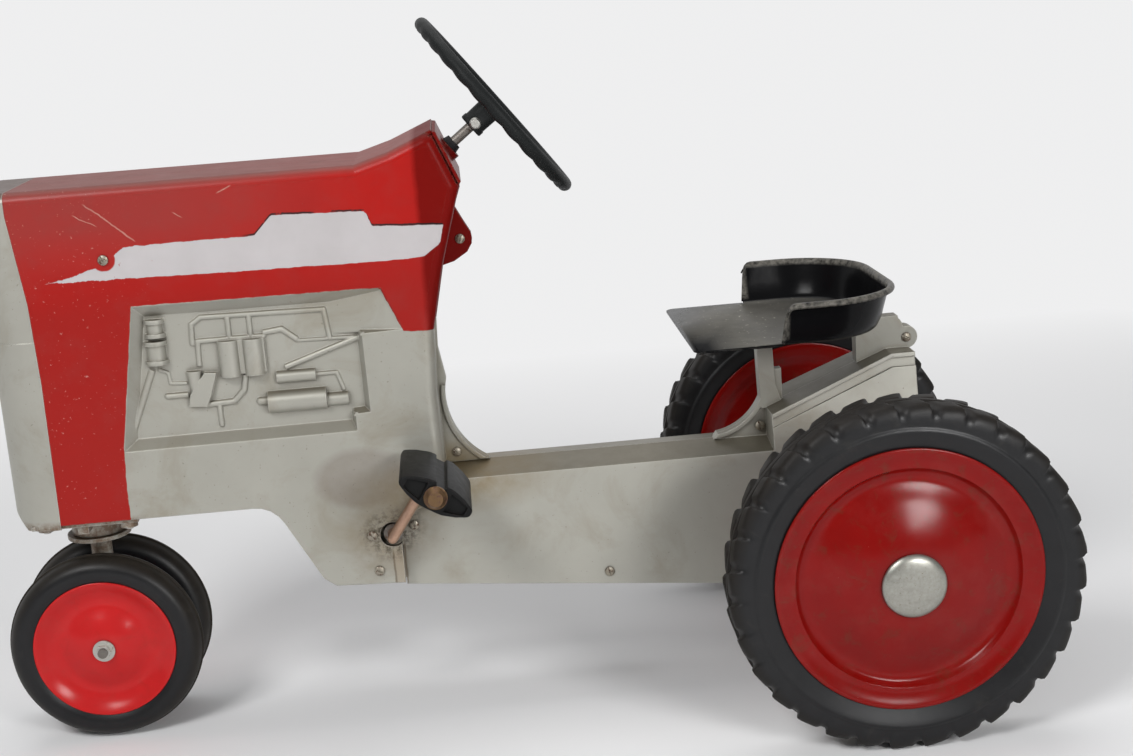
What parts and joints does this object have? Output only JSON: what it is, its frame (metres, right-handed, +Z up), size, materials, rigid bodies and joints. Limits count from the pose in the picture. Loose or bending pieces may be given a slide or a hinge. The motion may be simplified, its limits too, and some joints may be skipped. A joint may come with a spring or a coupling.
{
  "type": "pedal tractor",
  "caption": "Ride-on toy pedal tractor with cast body halves, narrow steered front wheels, chain-driven rear wheels, a bucket seat and a spoked steering wheel.",
  "frame": {"origin": "on the floor under the middle of the overall length, on the symmetry plane of the bodywork", "axes": "-X is forward and +X rearward, -Y is the left side and +Y the right side, +Z is up"},
  "size_m": [0.985, 0.52, 0.6599],
  "materials": {
    "hood_paint": "gloss red enamel over silver on cast aluminium, worn",
    "silver_paint": "satin silver paint on cast aluminium, grimy",
    "seat_enamel": "gloss black enamel, worn to grey on the pan",
    "zinc": "dull zinc plate",
    "mount_steel": "oiled dark steel",
    "bush_nylon": "black moulded bush",
    "chain_steel": "brown, dry steel",
    "wheel_plastic": "charcoal, worn",
    "tyre_rubber": "dusty black rubber",
    "front_rim_red": "gloss red enamel",
    "rear_rim_red": "gloss red enamel, chipped",
    "crank_steel": "coppery steel with rust",
    "cap_steel": "orange rust over plating",
    "hub_cap_steel": "speckled dull plate",
    "pedal_rubber": "black moulded rubber"
  },
  "bodies": {
    "tractor": {"front_casting_left": "hood_paint", "front_casting_right": "hood_paint", "rear_casting_left": "silver_paint", "rear_casting_right": "silver_paint", "nose_grille": "silver_paint", "dash_panel": "hood_paint", "bolster": "silver_paint", "steering_bush": "bush_nylon", "steering_bracket": "mount_steel", "seat": "seat_enamel", "seat_bolts": "zinc", "casting_screws": "zinc", "flange_screws": "zinc", "bolster_screws": "zinc", "crank_bearing_left": "mount_steel", "crank_bearing_right": "mount_steel", "axle_bearing_left": "mount_steel", "axle_bearing_right": "mount_steel", "chain": "chain_steel"},
    "steering": {"steering_wheel": "wheel_plastic", "steering_shaft": "mount_steel", "wheel_bolt": "zinc"},
    "front_end": {"pedestal": "silver_paint", "steering_arm": "mount_steel", "spindle_nut": "zinc", "front_axle": "mount_steel", "front_nuts": "zinc"},
    "front_wheel_left": {"front_tyre_left": "tyre_rubber", "front_disc_left": "front_rim_red", "front_inner_disc_left": "front_rim_red", "front_hub_left": "mount_steel"},
    "front_wheel_right": {"front_tyre_right": "tyre_rubber", "front_disc_right": "front_rim_red", "front_inner_disc_right": "front_rim_red", "front_hub_right": "mount_steel"},
    "crank": {"crank_rod": "crank_steel", "crank_sprocket": "mount_steel", "pedal_caps": "cap_steel"},
    "pedal_left": {"pedal_left": "pedal_rubber"},
    "pedal_right": {"pedal_right": "pedal_rubber"},
    "rear_axle": {"rear_axle": "mount_steel", "axle_sprocket": "mount_steel", "axle_spacers": "mount_steel", "hub_caps": "hub_cap_steel", "rear_tyre_left": "tyre_rubber", "rear_disc_left": "rear_rim_red", "rear_inner_disc_left": "rear_rim_red", "rear_hub_left": "mount_steel"},
    "rear_wheel_right": {"rear_tyre_right": "tyre_rubber", "rear_disc_right": "rear_rim_red", "rear_inner_disc_right": "rear_rim_red", "rear_hub_right": "mount_steel"}
  },
  "joints": [
    {"name": "front_steer", "type": "hinge", "parent": "tractor", "child": "front_end", "pos_m": [-0.4005, 0, 0.2], "axis": [0, 0, 1], "range_deg": [-30, 30]},
    {"name": "steering_turn", "type": "hinge", "parent": "tractor", "child": "steering", "pos_m": [0.015, 0, 0.575], "axis": [0.7923, 0, 0.6101], "range_deg": [-39, 39]},
    {"name": "front_wheel_left_spin", "type": "hinge", "parent": "front_end", "child": "front_wheel_left", "pos_m": [-0.4005, -0.032, 0.092], "axis": [0, -1, 0], "continuous": true},
    {"name": "front_wheel_right_spin", "type": "hinge", "parent": "front_end", "child": "front_wheel_right", "pos_m": [-0.4005, 0.032, 0.092], "axis": [0, -1, 0], "continuous": true},
    {"name": "rear_axle_spin", "type": "hinge", "parent": "tractor", "child": "rear_axle", "pos_m": [0.3345, 0, 0.158], "axis": [0, -1, 0], "continuous": true, "deforming": ["chain"]},
    {"name": "rear_wheel_right_spin", "type": "hinge", "parent": "rear_axle", "child": "rear_wheel_right", "pos_m": [0.3345, 0.219, 0.158], "axis": [0, -1, 0], "continuous": true},
    {"name": "crank_spin", "type": "hinge", "parent": "tractor", "child": "crank", "pos_m": [-0.1142, 0, 0.1885], "axis": [0, -1, 0], "continuous": true},
    {"name": "pedal_left_spin", "type": "hinge", "parent": "crank", "child": "pedal_left", "pos_m": [-0.06831, -0.1365, 0.25403], "axis": [0, -1, 0], "continuous": true},
    {"name": "pedal_right_spin", "type": "hinge", "parent": "crank", "child": "pedal_right", "pos_m": [-0.16009, 0.1365, 0.12297], "axis": [0, -1, 0], "continuous": true}
  ],
  "couplings": [
    {"joint": "steering_turn", "follows": "front_steer", "ratio": 1.3},
    {"joint": "crank_spin", "follows": "rear_axle_spin", "ratio": 0.5}
  ]
}
